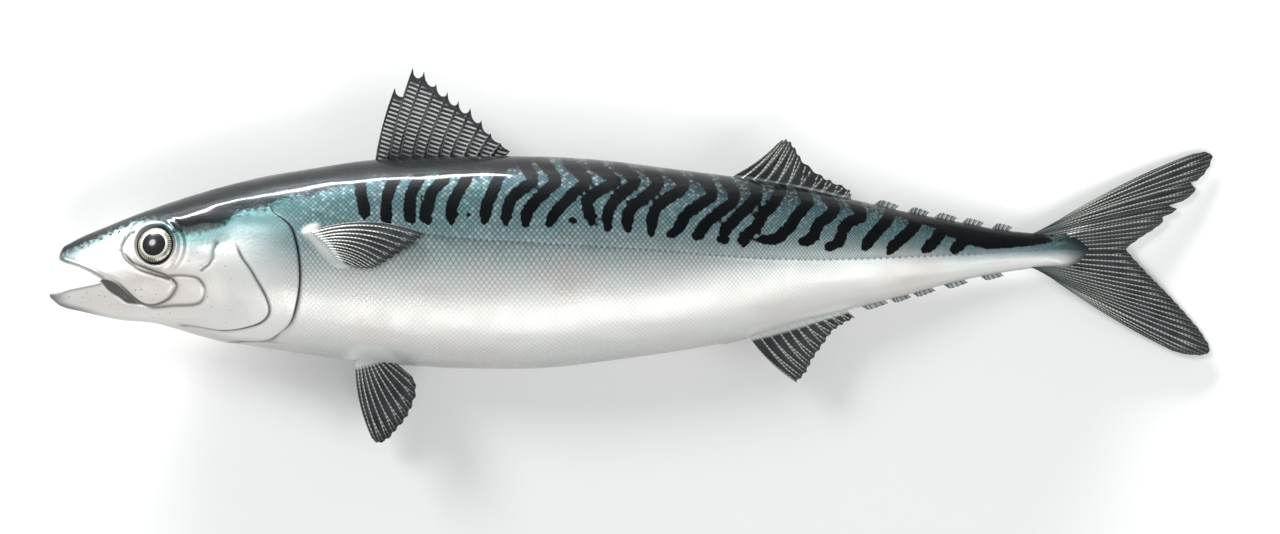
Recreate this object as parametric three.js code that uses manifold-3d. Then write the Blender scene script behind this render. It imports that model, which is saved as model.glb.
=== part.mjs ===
// A whole raw mackerel laid on its right flank: head to -X, back to +Y, left side up.
// Millimetres. While it is built, x runs from the tip of the lower jaw to the tail,
// y is the height above the fish's own axis and z the distance from its middle plane.
import * as THREE from "three";
import { LoftGeometry } from "three/addons/geometries/LoftGeometry.js";
import { mergeVertices } from "three/addons/utils/BufferGeometryUtils.js";
import Module from "manifold-3d";

const wasm = await Module();
wasm.setup();
const { clamp, degToRad, lerp, smoothstep } = THREE.MathUtils;

// ---- driving dimensions ----
const LENGTH = 350; // tip of the lower jaw to the tip of the tail
const HALF_WIDTH = 21; // half of the trunk at its thickest
const GILL_STEP = 0.9; // the gill cover stands this far off the body behind it
const CHEEK_STEP = 0.5; // and the cheek plate this far off the gill cover
const EYE_RADIUS = 5.7;
const EYE_DEPTH = 2.8; // half the thickness of the flattened eyeball
const EYE_SINK = 1.3; // its centre lies this far under the skin
const EYE_GAP = 0.3; // clearance between eyeball and socket
const EYE_AT = [32.1, 1.5];
const JAW_PLATE = 0.8; // the upper jaw's side bone stands this far off the head
const SMALL_PLATE = 0.4; // and the small bone behind it this far
const AROUND = 38; // points round one section of the body
const FAR = 30; // beyond the body on either side

// ---- outlines of the body, [x, value] ----
const back = profile([
  [0, -12.9],
  [3.1, -0.9],
  [6.2, 2.1],
  [15.2, 6.3],
  [33.2, 13.2],
  [57.2, 20.4],
  [81.2, 24.9],
  [96.8, 27],
  [117, 27.9],
  [141, 28.2],
  [165, 27],
  [205.7, 21.9],
  [225, 18.9],
  [243, 14.7],
  [264, 10.2],
  [285, 6.3],
  [297, 5],
  [305, 4.4],
  [310, 2.4],
]);
const belly = profile([
  [0, -14.2],
  [3.2, -16.8],
  [9.2, -18.6],
  [21.2, -21.3],
  [33.2, -22.5],
  [57.2, -28.2],
  [81.2, -31.8],
  [105, -34.5],
  [141, -35.7],
  [165, -33.6],
  [201, -28.2],
  [225, -21.9],
  [255, -14.1],
  [279, -8.1],
  [297, -5.3],
  [305, -4.7],
  [310, -2.6],
]);
const halfWidth = profile([
  [0, 0.9],
  [3, 3.3],
  [6, 5],
  [10, 6.9],
  [20, 10.2],
  [32, 12.9],
  [50, 16.2],
  [75, 18.8],
  [95, 20.2],
  [127, HALF_WIDTH],
  [165, 20.2],
  [200, 17.6],
  [240, 11.4],
  [270, 6.8],
  [297, 4],
  [305, 2.7],
  [310, 1.4],
]);
// Exponent of the section's curve: 2 is an ellipse, less is leaner, more is fuller.
const fullAbove = profile([
  [0, 2],
  [60, 2.1],
  [120, 2.2],
  [240, 2.1],
  [310, 2],
]);
const fullBelow = profile([
  [0, 1.7],
  [50, 1.75],
  [80, 2],
  [120, 2.15],
  [240, 2.05],
  [310, 2],
]);
// Height of the middle plane above the table: the trunk lies flat, the tail droops.
const middle = profile([
  [0, 18.6],
  [40, 19.6],
  [90, 20.2],
  [165, 20.2],
  [200, 18.6],
  [240, 13.2],
  [270, 8.6],
  [297, 5.6],
  [315, 3.9],
  [350, 0.9],
]);
// Rear edges of the cheek plate and the gill cover, [degrees down from the back, x].
const cheekEdge = profile([
  [0, 50],
  [80, 56.1],
  [102, 61.4],
  [114, 64.6],
  [124, 65.8],
  [132, 64.2],
  [139, 60.2],
  [149, 51.5],
  [157, 40],
  [180, 38],
]);
const gillEdge = profile([
  [0, 64],
  [55, 66.4],
  [70, 72.2],
  [81, 74],
  [93, 74.9],
  [105, 74.9],
  [118, 74],
  [132, 72.2],
  [143, 68.8],
  [155, 64.2],
  [162, 57.2],
  [180, 50],
]);

/** A smooth curve through [x, y] points, flat beyond its two ends. */
function profile(points) {
  const last = points.length - 1;
  const slopes = points.map((_, i) => {
    const a = points[Math.max(i - 1, 0)];
    const b = points[Math.min(i + 1, last)];
    return (b[1] - a[1]) / (b[0] - a[0]);
  });
  return (x) => {
    const after = points.findIndex((p) => p[0] > x);
    const i = after < 0 ? last - 1 : Math.max(after - 1, 0);
    const [x0, y0] = points[i];
    const [x1, y1] = points[i + 1];
    const span = x1 - x0;
    const t = clamp((x - x0) / span, 0, 1);
    const s = 1 - t;
    return (
      s * s * (1 + 2 * t) * y0 +
      t * t * (3 - 2 * t) * y1 +
      s * s * t * span * slopes[i] -
      t * t * s * span * slopes[i + 1]
    );
  };
}

/** The level at which the section at x is widest. */
function widest(x) {
  return lerp(belly(x), back(x), 0.515);
}

/** How far the skin is from the middle plane at (x, y). */
function flank(x, y) {
  const level = widest(x);
  const above = y > level;
  const reach = above ? back(x) - level : level - belly(x);
  const n = above ? fullAbove(x) : fullBelow(x);
  const t = Math.min(Math.abs(y - level) / reach, 1);
  return halfWidth(x) * (1 - t ** n) ** (1 / n);
}

/** How far the cheek plate and the gill cover lift the skin at x, angle from the back. */
function lift(x, angle) {
  const gill = gillEdge(angle);
  const cheek = cheekEdge(angle);
  let off = 0;
  if (x <= gill) {
    const side = smoothstep(angle, 50, 62) * (1 - 0.6 * smoothstep(angle, 166, 180));
    off += GILL_STEP * side * smoothstep(x, gill - 26, gill - 4);
  }
  if (x <= cheek) {
    const side = smoothstep(angle, 76, 86) * (1 - smoothstep(angle, 150, 158));
    off += CHEEK_STEP * side * smoothstep(x, cheek - 14, cheek - 2);
  }
  return off;
}

/** A point of the skin, at angle degrees round the section from the back. */
function skin(x, angle, extra) {
  const c = Math.cos(degToRad(angle));
  const s = Math.sin(degToRad(angle));
  const n = c >= 0 ? fullAbove(x) : fullBelow(x);
  const level = widest(x);
  const tall = c >= 0 ? back(x) - level : level - belly(x);
  const wide = halfWidth(x);
  const y = tall * Math.sign(c) * Math.abs(c) ** (2 / n);
  const z = wide * Math.sign(s) * Math.abs(s) ** (2 / n);
  const out = new THREE.Vector2(y / tall ** 2, z / wide ** 2).normalize();
  const off = extra + lift(x, angle > 180 ? 360 - angle : angle);
  return new THREE.Vector3(x, level + y + out.x * off, z + out.y * off);
}

/** The rings of the head and body: each gives x at an angle from the back. */
function rings() {
  const at = (x) => () => x;
  const between = (a, b, t) => (angle) => lerp(a(angle), b(angle), t);
  const after = (edge) => (angle) => edge(angle) + 0.5;
  const front = [0, 0.7, 1.8, 3.1, 5, 7.5, 10.5, 14, 18, 22.5, 27, 32].map(at);
  const trunk = [];
  for (let x = 86; x < 290; x += 10) trunk.push(at(x));
  const end = [295, 302, 307, 310].map(at);
  return [
    ...front,
    between(at(32), cheekEdge, 0.35),
    between(at(32), cheekEdge, 0.7),
    cheekEdge,
    after(cheekEdge),
    between(after(cheekEdge), gillEdge, 0.33),
    between(after(cheekEdge), gillEdge, 0.67),
    gillEdge,
    after(gillEdge),
    between(after(gillEdge), at(86), 0.33),
    between(after(gillEdge), at(86), 0.67),
    ...trunk,
    ...end,
  ];
}

/** The closed surface through the given rings, moved out by extra. */
function bodyLoft(list, extra = 0) {
  const sections = list.map((ring) =>
    Array.from({ length: AROUND }, (_, k) => {
      const angle = (360 * k) / AROUND;
      return skin(ring(angle > 180 ? 360 - angle : angle), angle, extra);
    }),
  );
  return new LoftGeometry(sections, { capStart: true, capEnd: true });
}

/** A closed geometry as a solid, its faces turned out; laid moves it to the middle plane. */
function solid(geometry, laid = true) {
  const bare = new THREE.BufferGeometry();
  bare.setAttribute("position", geometry.getAttribute("position"));
  bare.setIndex(geometry.getIndex());
  const merged = mergeVertices(bare, 1e-4);
  const corners = merged.attributes.position;
  const triangles = [];
  const [a, b, c] = [0, 1, 2].map(() => new THREE.Vector3());
  let volume = 0;
  for (let i = 0; i < merged.index.count; i += 3) {
    const ids = [0, 1, 2].map((k) => merged.index.getX(i + k));
    if (new Set(ids).size < 3) continue;
    [a, b, c].forEach((p, k) => p.fromBufferAttribute(corners, ids[k]));
    volume += a.dot(b.cross(c));
    triangles.push(...ids);
  }
  if (volume < 0) triangles.reverse();
  if (laid) {
    for (let i = 0; i < corners.count; i++) {
      corners.setZ(i, corners.getZ(i) + middle(corners.getX(i)));
    }
  }
  return new wasm.Manifold(
    new wasm.Mesh({
      numProp: 3,
      vertProperties: corners.array,
      triVerts: new Uint32Array(triangles),
    }),
  );
}

/** The same geometry on the fish's other side. */
function mirrored(geometry) {
  return geometry.clone().scale(1, 1, -1);
}

/** A flat outline of [x, y] points given thickness from z0 to z1. */
function slab(outline, z0, z1) {
  const shape = new THREE.Shape(outline.map(([x, y]) => new THREE.Vector2(x, y)));
  const made = new THREE.ExtrudeGeometry(shape, { depth: z1 - z0, bevelEnabled: false });
  return made.translate(0, 0, z0);
}

/** The point a share u of the way along a chain of [x, y] points. */
function along(points, u) {
  const place = clamp(u, 0, 1) * (points.length - 1);
  const i = Math.min(Math.floor(place), points.length - 2);
  return [0, 1].map((k) => lerp(points[i][k], points[i + 1][k], place - i));
}

/**
 * A fin: rays run from the base chain to the margin chain, bowed by bow(u) at their
 * middle. sheet gives its z and half the ray's half thickness; the skin between two
 * rays is thinner.
 */
function fin({ base, margin, splits, rows, bow, sheet, half }) {
  const columns = (margin.length - 1) * splits;
  const position = [];
  for (let i = 0; i <= columns; i++) {
    const u = i / columns;
    const root = along(base, u);
    const tip = along(margin, u);
    const [bowX, bowY] = bow(u);
    for (let j = 0; j <= rows; j++) {
      const v = j / rows;
      const arch = 4 * v * (1 - v);
      const x = lerp(root[0], tip[0], v) + bowX * arch;
      const y = lerp(root[1], tip[1], v) + bowY * arch;
      const z = sheet(x, y, v);
      const thick = half(v) * (i % 2 ? 0.6 : 1);
      position.push(x, y, z + thick, x, y, z - thick);
    }
  }
  const near = (i, j) => 2 * (i * (rows + 1) + j);
  const far = (i, j) => near(i, j) + 1;
  const index = [];
  const face = (p, q, r, s) => index.push(p, q, r, p, r, s);
  for (let i = 0; i < columns; i++) {
    for (let j = 0; j < rows; j++) {
      face(near(i, j), near(i + 1, j), near(i + 1, j + 1), near(i, j + 1));
      face(far(i, j), far(i, j + 1), far(i + 1, j + 1), far(i + 1, j));
    }
    face(near(i, 0), far(i, 0), far(i + 1, 0), near(i + 1, 0));
    face(near(i, rows), near(i + 1, rows), far(i + 1, rows), far(i, rows));
  }
  for (let j = 0; j < rows; j++) {
    face(near(0, j), near(0, j + 1), far(0, j + 1), far(0, j));
    face(near(columns, j), far(columns, j), far(columns, j + 1), near(columns, j + 1));
  }
  const made = new THREE.BufferGeometry();
  made.setAttribute("position", new THREE.Float32BufferAttribute(position, 3));
  return made.setIndex(index);
}

const straight = () => [0, 0];
const inPlane = () => 0;

// ---- first dorsal fin: free-tipped spines with a scalloped membrane ----
// [foot x, tip x, tip y]
const SPINES = [
  [97.4, 103.6, 48.6],
  [101, 109, 54.7],
  [104.2, 112.4, 53.6],
  [108.2, 116, 50],
  [111.8, 119.4, 47.4],
  [116, 122.7, 44.7],
  [119.6, 126.3, 42.6],
  [123.8, 129.6, 39],
  [127.6, 132.4, 35.1],
  [131.6, 135.4, 32.1],
  [136, 138.2, 29.7],
];
const SCALLOP = 2.4; // the membrane's edge lies this far under the line between two tips

function firstDorsal() {
  const feet = [];
  const margin = [];
  SPINES.forEach(([foot, x, y], i) => {
    feet.push([foot, back(foot) - 2.2]);
    margin.push([x, y]);
    const next = SPINES[i + 1];
    if (!next) return;
    const between = (foot + next[0]) / 2;
    feet.push([between, back(between) - 2.2]);
    margin.push([lerp(x, next[1], 0.4), lerp(y, next[2], 0.4) - SCALLOP]);
  });
  return fin({
    base: feet,
    margin,
    splits: 1,
    rows: 4,
    bow: straight,
    sheet: inPlane,
    half: (v) => lerp(0.85, 0.4, v),
  });
}

// ---- second dorsal and anal fin ----
const softHalf = (v) => lerp(0.9, 0.4, v);

function secondDorsal() {
  return fin({
    base: [205.7, 217, 228.6, 240.2].map((x) => [x, back(x) - 1.8]),
    margin: [
      [220.6, 33.3],
      [223.7, 30.9],
      [226, 27],
      [231.2, 22.8],
      [235, 20.7],
      [239.6, 18.6],
      [240.8, 16.8],
    ],
    splits: 3,
    rows: 3,
    bow: (u) => [0.9 * (1 - u), -0.7 * (1 - u)],
    sheet: inPlane,
    half: softHalf,
  });
}

function analFin() {
  return fin({
    base: [210.5, 219.5, 228.6, 237.8].map((x) => [x, belly(x) + 1.8]),
    margin: [
      [224.2, -39.8],
      [227, -36.9],
      [229, -33],
      [232, -28.8],
      [235, -24.6],
      [238.4, -22.2],
      [241.8, -20.4],
    ],
    splits: 3,
    rows: 3,
    bow: (u) => [-0.6 * (1 - u), -0.6 * (1 - u)],
    sheet: inPlane,
    half: softHalf,
  });
}

// ---- the small finlets in front of the tail, [start x, length] ----
const UPPER_FINLETS = [
  [246.6, 8.6],
  [256.9, 7.4],
  [264.9, 7.8],
  [273.2, 7.6],
  [282.4, 7],
];
const LOWER_FINLETS = [
  [242.7, 9.2],
  [251.6, 7.2],
  [258.2, 8],
  [267.6, 8.4],
  [278.8, 8],
];

/** A finlet on the given line of the body; up is 1 on the back and -1 on the belly. */
function finlet([x, length], line, up, rise) {
  const on = (share, off) => {
    const at = x + share * length;
    return [at, line(at) + up * off];
  };
  const outline = [on(0, -1.2), on(0, 0.1), on(0.38, rise), on(1, 0.7 * rise), on(0.76, 0), on(0.76, -1.2)];
  return slab(outline, -0.4, 0.4);
}

// ---- pelvic fins: a pair under the belly, spread apart ----
function pelvicFin() {
  return fin({
    base: [
      [91.9, -32],
      [99.2, -31],
    ],
    margin: [
      [97, -56.4],
      [98.8, -57.9],
      [101.6, -56.7],
      [104, -54],
      [106.6, -51],
      [108.4, -47.6],
      [109.9, -43.2],
      [109.4, -39],
      [107, -36.6],
    ],
    splits: 2,
    rows: 4,
    bow: (u) => [-1.6 * (1 - u), 0.4 * u],
    sheet: (x, y) => 3 + 0.3 * Math.max(-33 - y, 0),
    half: (v) => lerp(0.9, 0.4, v),
  });
}

// ---- pectoral fins: a pair lying back against the flanks ----
function pectoralFin() {
  return fin({
    base: [
      [80.6, 5.9],
      [84.6, 1.6],
      [88, -3.6],
    ],
    margin: [
      [113.2, 4.9],
      [109.4, 1.6],
      [104.8, -1.5],
      [100.4, -4.2],
      [98, -5.4],
      [95, -5.6],
      [91.4, -5.1],
    ],
    splits: 2,
    rows: 5,
    bow: (u) => [0, lerp(3.1, 0.2, u)],
    sheet: (x, y, v) => flank(x, y) + 0.7 * v,
    half: (v) => lerp(0.9, 0.8, v),
  });
}

// ---- tail fin: one fan from the tail stalk to the two lobes ----
const TAIL_MARGIN = [
  [339.2, 27.3],
  [344, 29.1],
  [347.6, 29.7],
  [LENGTH, 28.2],
  [349, 25.2],
  [347, 22.5],
  [344.6, 18],
  [341.6, 15.6],
  [337, 12.9],
  [339.2, 12],
  [335, 9.9],
  [333.4, 7.2],
  [329, 3.9],
  [324.4, 0.4],
  [326, -2.4],
  [330.4, -7.2],
  [336.4, -13.2],
  [341.6, -18.9],
  [346, -24],
  [348.8, -28.5],
  [348.9, -30.9],
  [346, -31.8],
  [341.6, -31.5],
  [337.6, -30.3],
];

function tailFin() {
  return fin({
    base: [
      [295, 3.8],
      [295, -4],
    ],
    margin: TAIL_MARGIN,
    splits: 2,
    rows: 5,
    bow: (u) => [0, lerp(1.5, -1.4, u)],
    sheet: inPlane,
    half: (v) => 0.4 + 1.5 * (1 - v) ** 2.5,
  });
}

/** A low keel on the tail stalk's side, from one [x, y] to another. */
function keel(from, to) {
  const [dx, dy] = [to[0] - from[0], to[1] - from[1]];
  const ridge = new THREE.SphereGeometry(1, 12, 6).scale(Math.hypot(dx, dy) / 2, 0.8, 1.1);
  ridge.rotateZ(Math.atan2(dy, dx));
  return ridge.translate((from[0] + to[0]) / 2, (from[1] + to[1]) / 2, 1.6);
}

/** A flattened ball set in the head at the left eye, grown by gap. */
function eyeForm(gap) {
  const [x, y] = EYE_AT;
  const d = 2;
  const slopeX = (flank(x + d, y) - flank(x - d, y)) / (2 * d);
  const slopeY = (flank(x, y + d) - flank(x, y - d)) / (2 * d);
  const out = new THREE.Vector3(-slopeX, -slopeY, 1).normalize();
  const turn = new THREE.Quaternion().setFromUnitVectors(new THREE.Vector3(0, 0, 1), out);
  const centre = new THREE.Vector3(x, y, flank(x, y)).addScaledVector(out, -EYE_SINK);
  return new THREE.SphereGeometry(1, 24, 14)
    .rotateX(Math.PI / 2)
    .scale(EYE_RADIUS + gap, EYE_RADIUS + gap, EYE_DEPTH + gap)
    .applyQuaternion(turn)
    .translate(centre.x, centre.y, centre.z);
}

// ---- the open mouth: a wedge between the lips and a hollow behind it ----
const GAPE = [
  [-4, -1.6],
  [2.6, -1.6],
  [2.9, -2.9],
  [4.4, -3.8],
  [9, -5.2],
  [12.4, -6.7],
  [15.9, -8.8],
  [15.3, -9.4],
  [6.1, -11.3],
  [1, -13],
  [-4, -13.6],
];
// [x, middle height, half height, half width]
const HOLLOW = [
  [-1, -8.2, 3.2, 1],
  [2, -8, 4.4, 1.1],
  [6, -8, 5.2, 3.1],
  [10, -8.2, 5.2, 4.8],
  [15, -9, 5, 6.2],
  [20, -9.6, 4.2, 6],
  [26, -10.2, 2.6, 4.4],
  [30, -10.5, 0.8, 1.4],
];

function hollow() {
  const sections = HOLLOW.map(([x, y, high, wide]) =>
    Array.from({ length: 20 }, (_, k) => {
      const turn = (2 * Math.PI * k) / 20;
      return new THREE.Vector3(x, y + high * Math.cos(turn), wide * Math.sin(turn));
    }),
  );
  return new LoftGeometry(sections, { capStart: true, capEnd: true });
}

// ---- bones seen on the cheek ----
const JAW_BONE = [
  [4.4, -3.6],
  [10.6, -1.8],
  [17.6, 1.2],
  [21.6, -0.9],
  [25.6, -4.4],
  [30.8, -6.4],
  [35.4, -8.1],
  [38, -10.1],
  [37.6, -12],
  [36, -14.1],
  [33.1, -15.6],
  [30.8, -16],
  [28.5, -15.6],
  [26.2, -14.1],
  [23.3, -11.3],
  [20.5, -9],
  [15.9, -7.3],
  [9, -5],
];
const SMALL_BONE = [
  [30, -10],
  [36.8, -8.1],
  [43.4, -8.3],
  [45.8, -9.5],
  [46.9, -11.8],
  [46.3, -14.6],
  [44, -16],
  [37.6, -16.3],
  [30, -16.4],
];

function headPlate(outline, height) {
  const head = rings().slice(2, 15);
  const over = solid(bodyLoft(head, height));
  return over.intersect(solid(slab(outline, -FAR, FAR)));
}

function fish() {
  const parts = [
    headPlate(JAW_BONE, JAW_PLATE),
    headPlate(SMALL_BONE, SMALL_PLATE),
    solid(firstDorsal()),
    solid(secondDorsal()),
    solid(analFin()),
    solid(tailFin()),
    ...UPPER_FINLETS.map((at) => solid(finlet(at, back, 1, 1.9))),
    ...LOWER_FINLETS.map((at) => solid(finlet(at, belly, -1, 1.6))),
  ];
  const pairs = [
    pelvicFin(),
    pectoralFin(),
    keel([300.8, 1.8], [312.2, 6.6]),
    keel([300.8, -2.4], [312.2, -7.2]),
  ];
  pairs.forEach((form) => parts.push(solid(form), solid(mirrored(form))));
  let whole = solid(bodyLoft(rings()));
  parts.forEach((part) => {
    whole = whole.add(part);
  });
  const socket = eyeForm(EYE_GAP);
  const table = new THREE.BoxGeometry(500, 200, 20).translate(LENGTH / 2, 0, -10);
  return whole
    .subtract(solid(slab(GAPE, -FAR, FAR)))
    .subtract(solid(hollow()))
    .subtract(solid(socket))
    .subtract(solid(mirrored(socket)))
    .subtract(solid(table, false));
}

/** A named mesh from a solid. */
function mesh(name, made, material) {
  const { numProp, vertProperties, triVerts } = made.getMesh();
  const count = vertProperties.length / numProp;
  const position = new Float32Array(count * 3);
  for (let i = 0; i < count; i++) {
    position.set(vertProperties.subarray(i * numProp, i * numProp + 3), i * 3);
  }
  const geometry = new THREE.BufferGeometry();
  geometry.setAttribute("position", new THREE.BufferAttribute(position, 3));
  geometry.setIndex(new THREE.BufferAttribute(triVerts, 1));
  geometry.computeVertexNormals();
  const item = new THREE.Mesh(geometry, material);
  item.name = name;
  return item;
}

const skinLook = new THREE.MeshStandardMaterial({ color: 0x7f8f8c, roughness: 0.35 });
const eyeLook = new THREE.MeshStandardMaterial({ color: 0x14161a, roughness: 0.1 });
const eye = eyeForm(0);

const group = new THREE.Group();
group.name = "mackerel";
group.add(mesh("fish", fish(), skinLook));
group.add(mesh("eye_left", solid(eye), eyeLook));
group.add(mesh("eye_right", solid(mirrored(eye)), eyeLook));

// The origin is under the middle of the whole, on the table.
const box = new THREE.Box3().setFromObject(group);
const middleOf = box.getCenter(new THREE.Vector3());
group.children.forEach((item) => {
  item.geometry.translate(-middleOf.x, -middleOf.y, -box.min.z);
});

export default group;
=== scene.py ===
import math

import bmesh
import bpy
import numpy as np
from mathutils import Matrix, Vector


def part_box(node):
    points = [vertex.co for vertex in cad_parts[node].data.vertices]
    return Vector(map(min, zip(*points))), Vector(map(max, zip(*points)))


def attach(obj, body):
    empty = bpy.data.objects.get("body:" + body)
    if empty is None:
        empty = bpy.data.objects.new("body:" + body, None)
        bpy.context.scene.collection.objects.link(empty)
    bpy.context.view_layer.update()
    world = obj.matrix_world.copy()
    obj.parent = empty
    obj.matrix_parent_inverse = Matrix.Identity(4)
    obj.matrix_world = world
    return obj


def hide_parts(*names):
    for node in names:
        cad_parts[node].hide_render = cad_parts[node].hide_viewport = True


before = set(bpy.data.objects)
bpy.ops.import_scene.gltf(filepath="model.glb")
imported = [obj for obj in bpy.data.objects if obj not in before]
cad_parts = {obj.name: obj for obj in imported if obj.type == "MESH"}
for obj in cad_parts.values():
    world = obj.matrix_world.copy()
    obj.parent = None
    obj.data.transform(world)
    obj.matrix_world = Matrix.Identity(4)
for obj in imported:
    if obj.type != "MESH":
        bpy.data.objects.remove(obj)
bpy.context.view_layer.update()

MM = 0.001

# ---- driving dimensions, in mm unless said ----
DORSAL_TOP = 54.7  # tip of the longest spine above the fish's axis
HALF_WIDTH = 21.0  # half of the trunk at its thickest
GILL_STEP = 0.9  # the gill cover stands this far off the body behind it
CHEEK_STEP = 0.5  # and the cheek plate this far off the gill cover
JAW_PLATE = 0.8  # the upper jaw's side bone stands this far off the head
SMALL_PLATE = 0.4  # and the small bone behind it this far
EYE_RADIUS = 5.7
EYE_DEPTH = 2.8  # half the thickness of the flattened eyeball
EYE_SINK = 1.3  # its centre lies this far under the skin
CORNEA = 0.3  # how far its middle bulges
EYE_GAP = 0.3  # clearance between eyeball and socket
EYE_AT = (32.1, 1.5)
PUPIL = 3.6
TRUNK_END = 312.4  # the scaled body ends here, inside the root of the tail fin
FAR = 30.0  # beyond the body on either side
WIDEST = 0.515  # share of the depth, from the belly, at which the section is widest
FACE_END = 32.0  # the rings of the body lie closest up to this x
HEAD_END = 86.0  # and follow the gill covers up to this one
VENT = 206.0  # x of the vent, on the middle of the belly
VENT_REACH = 4.0  # the rings lie closer this far before and behind it
ARC = 0.4  # mm round the section to a degree, about
SIDES = {1: "left", -1: "right"}  # the left side is up
# Points round one ring of the body: (degrees from the back, points up to the next), closer
# together over the bones of the face and under the belly.
COLUMNS = [(0, 41), (60, 101), (160, 14), (180, 14), (200, 62), (360, 0)]
FISH_LOW, FISH_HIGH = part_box("fish")
START_X = FISH_LOW[0] / MM  # row x of the tip of the lower jaw
AXIS_Y = FISH_HIGH[1] / MM - DORSAL_TOP  # row y of the fish's axis

# ---- the picture ----
PICTURE = (1280, 534)
PIXEL = 0.3  # mm of the fish to a pixel
JAW_PIXEL = (49.5, 250)  # where x and y are 0
MEDIAN = 20.0  # height of the trunk's middle plane above the table
LENS, SENSOR = 300, 36  # mm


def add_camera():
    """A long lens straight above the fish."""
    data = bpy.data.cameras.new("camera")
    data.lens = LENS
    data.sensor_width = SENSOR
    data.clip_end = 50
    camera = bpy.data.objects.new("camera", data)
    bpy.context.scene.collection.objects.link(camera)
    centre_x = (PICTURE[0] / 2 - JAW_PIXEL[0]) * PIXEL
    centre_y = (JAW_PIXEL[1] - PICTURE[1] / 2) * PIXEL
    away = PICTURE[0] * PIXEL * LENS / SENSOR
    place = (centre_x + START_X, centre_y + AXIS_Y, away + MEDIAN)
    camera.location = [v * MM for v in place]
    bpy.context.scene.camera = camera


add_camera()


# ---- curves ----
def fade(value, start, end):
    """0 at the start, 1 at the end, and smooth between them."""
    share = np.clip((value - start) / (end - start), 0, 1)
    return share * share * (3 - 2 * share)


def lerp(a, b, share):
    return a + (b - a) * share


def near(distance, width):
    """1 at a line and 0 away from it."""
    return np.exp(-((distance / width) ** 2))


def circle(count):
    """The angles of one turn."""
    return np.linspace(0, 2 * math.pi, count, endpoint=False)


def profile(points):
    """A smooth curve through (x, y) points, flat beyond its two ends."""
    xs, ys = np.array(points, float).T
    wide_x, wide_y = np.pad(points, ((1, 1), (0, 0)), mode="edge").T
    slopes = (wide_y[2:] - wide_y[:-2]) / (wide_x[2:] - wide_x[:-2])

    def value(x):
        i = np.clip(np.searchsorted(xs, x, side="right") - 1, 0, len(xs) - 2)
        span = xs[i + 1] - xs[i]
        t = np.clip((x - xs[i]) / span, 0, 1)
        s = 1 - t
        ends = s * s * (1 + 2 * t) * ys[i] + t * t * (3 - 2 * t) * ys[i + 1]
        return ends + s * t * span * (s * slopes[i] - t * slopes[i + 1])

    return value


def spline(points, share):
    """Points at the given shares of a smooth curve through the points."""
    points = np.array(points, float)
    last = len(points) - 1
    place = np.clip(np.asarray(share, float), 0, 1) * last
    i = np.minimum(place.astype(int), last - 1)
    t = (place - i)[..., None]
    a, b = points[np.maximum(i - 1, 0)], points[i]
    c, d = points[i + 1], points[np.minimum(i + 2, last)]
    bend = t * (c - a + t * (2 * a - 5 * b + 4 * c - d + t * (3 * (b - c) + d - a)))
    return b + 0.5 * bend


def chain(points, share):
    """Points at the given shares of a chain, each link being as long."""
    ids = np.arange(len(points))
    return np.stack([np.interp(share * ids[-1], ids, p) for p in np.array(points).T], axis=-1)


def chain_distance(x, y, points):
    """Distance to a chain of (x, y) points, and the place on it that is nearest."""
    best = np.full(np.shape(x), np.inf)
    place = np.zeros(np.shape(x))
    for i, ((ax, ay), (bx, by)) in enumerate(zip(points[:-1], points[1:])):
        dx, dy = bx - ax, by - ay
        t = np.clip(((x - ax) * dx + (y - ay) * dy) / (dx * dx + dy * dy), 0, 1)
        gap = np.hypot(x - ax - t * dx, y - ay - t * dy)
        nearer = gap < best
        best = np.where(nearer, gap, best)
        place = np.where(nearer, i + t, place)
    return best, place


def inside_distance(x, y, outline):
    """Distance to a closed outline, above 0 inside it."""
    closed = [*outline, outline[0]]
    gap, _ = chain_distance(x, y, closed)
    inside = np.zeros(np.shape(x), bool)
    for (ax, ay), (bx, by) in zip(closed[:-1], closed[1:]):
        if ay == by:
            continue
        crosses = ((ay > y) != (by > y)) & (x < (bx - ax) * (y - ay) / (by - ay) + ax)
        inside ^= crosses
    return np.where(inside, gap, -gap)


def rounded(outline):
    """A closed outline as a smooth one with four times the points."""
    ring = [outline[-1], *outline, outline[0], outline[1]]
    first, last = 1 / (len(ring) - 1), (len(outline) + 1) / (len(ring) - 1)
    share = np.linspace(first, last, 4 * len(outline), endpoint=False)
    return [tuple(p) for p in spline(ring, share)]


def rounded_line(points):
    """An open line as a smooth one with four times the points."""
    return [tuple(p) for p in spline(points, np.linspace(0, 1, 4 * len(points)))]


def ripples(x, s, size, seed):
    """An uneven field about 1 high, with bumps of about the given size."""
    draw = np.random.default_rng(seed)
    total = np.zeros(np.shape(x))
    for _ in range(8):
        turn, phase = draw.uniform(0, 2 * math.pi, 2)
        beat = 2 * math.pi / (size * draw.uniform(0.7, 1.7))
        total += np.sin(beat * (x * math.cos(turn) + s * math.sin(turn)) + phase)
    return total / 2.8


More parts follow.
